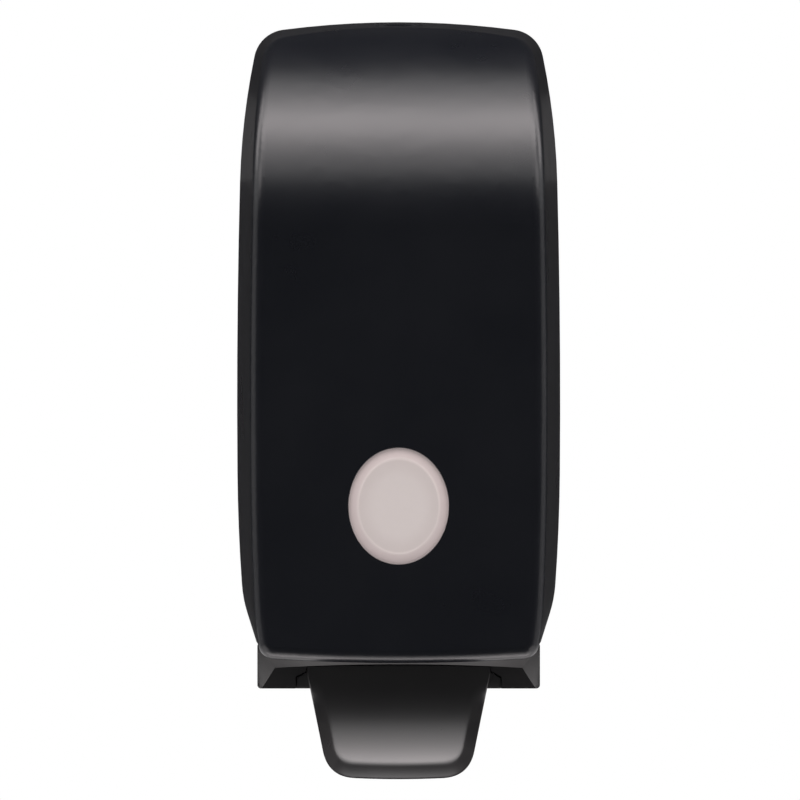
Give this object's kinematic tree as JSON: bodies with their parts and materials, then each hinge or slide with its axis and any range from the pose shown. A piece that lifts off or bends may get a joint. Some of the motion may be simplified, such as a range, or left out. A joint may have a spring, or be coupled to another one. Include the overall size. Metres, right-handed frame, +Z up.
{
  "type": "wall mounted soap dispenser",
  "caption": "Black wall-mounted soap dispenser: tall hinged cover with an oval level window and key lock, a scooped push lever below, and a lever-worked pump cassette inside.",
  "frame": {"origin": "middle of the wall-screw holes, on the face of the back plate that lies on the wall", "axes": "+Z up, +Y into the wall so that the front faces -Y, +X to the right as seen from the front"},
  "size_m": [0.1164, 0.114, 0.2714],
  "materials": {
    "black_shell": "black moulded ABS with a satin gloss",
    "window_milky": "milky translucent acrylic",
    "chassis_plastic": "dark grey moulded plastic, matt",
    "bright_steel": "zinc-plated steel",
    "lock_chrome": "chromed die casting",
    "bottle_natural": "natural blow-moulded polyethylene",
    "pump_white": "white moulded polypropylene",
    "seal_rubber": "black nitrile rubber",
    "valve_silicone": "clear silicone rubber"
  },
  "bodies": {
    "chassis": {"back_plate": "chassis_plastic", "base_housing": "black_shell", "base_screws": "bright_steel", "cover_hinge_pins": "bright_steel", "lever_shaft": "bright_steel", "shaft_clips": "bright_steel", "cassette_shelf": "chassis_plastic", "lock_keeper": "bright_steel", "plate_screws": "bright_steel", "cassette_bottle": "bottle_natural", "cassette_cap": "pump_white", "cap_gasket": "seal_rubber", "pump_cylinder": "pump_white", "inlet_valve": "valve_silicone", "stem_guide": "pump_white", "pump_spring": "bright_steel"},
    "lever": {"push_lever": "black_shell"},
    "pump_plunger": {"pump_stem": "pump_white", "piston_seal": "seal_rubber", "nozzle": "pump_white", "nozzle_valve": "valve_silicone"},
    "cover": {"front_cover": "black_shell", "window_lens": "window_milky", "window_retainer": "chassis_plastic", "lock_escutcheon": "lock_chrome"},
    "lock": {"lock_barrel": "lock_chrome", "lock_cam": "bright_steel", "cam_nut": "bright_steel"}
  },
  "joints": [
    {"name": "cover_hinge", "type": "hinge", "parent": "chassis", "child": "cover", "pos_m": [0, -0.1085, -0.106], "axis": [1, 0, 0], "range_deg": [0, 90]},
    {"name": "lever_pivot", "type": "hinge", "parent": "chassis", "child": "lever", "pos_m": [0, -0.0905, -0.114], "axis": [1, 0, 0], "range_deg": [0, 14.5], "stiffness_Nm_per_rad": 0.6, "springref_deg": -20.05},
    {"name": "pump_stroke", "type": "slide", "parent": "chassis", "child": "pump_plunger", "axis": [0, 0, 1], "range_m": [0, 0.01], "deforming": ["pump_spring"]},
    {"name": "lock_turn", "type": "hinge", "parent": "cover", "child": "lock", "pos_m": [0, -0.032, 0.1], "axis": [0, 0, 1], "range_deg": [0, 90]}
  ],
  "couplings": [
    {"joint": "pump_stroke", "follows": "lever_pivot", "m_per_rad": 0.0387}
  ]
}
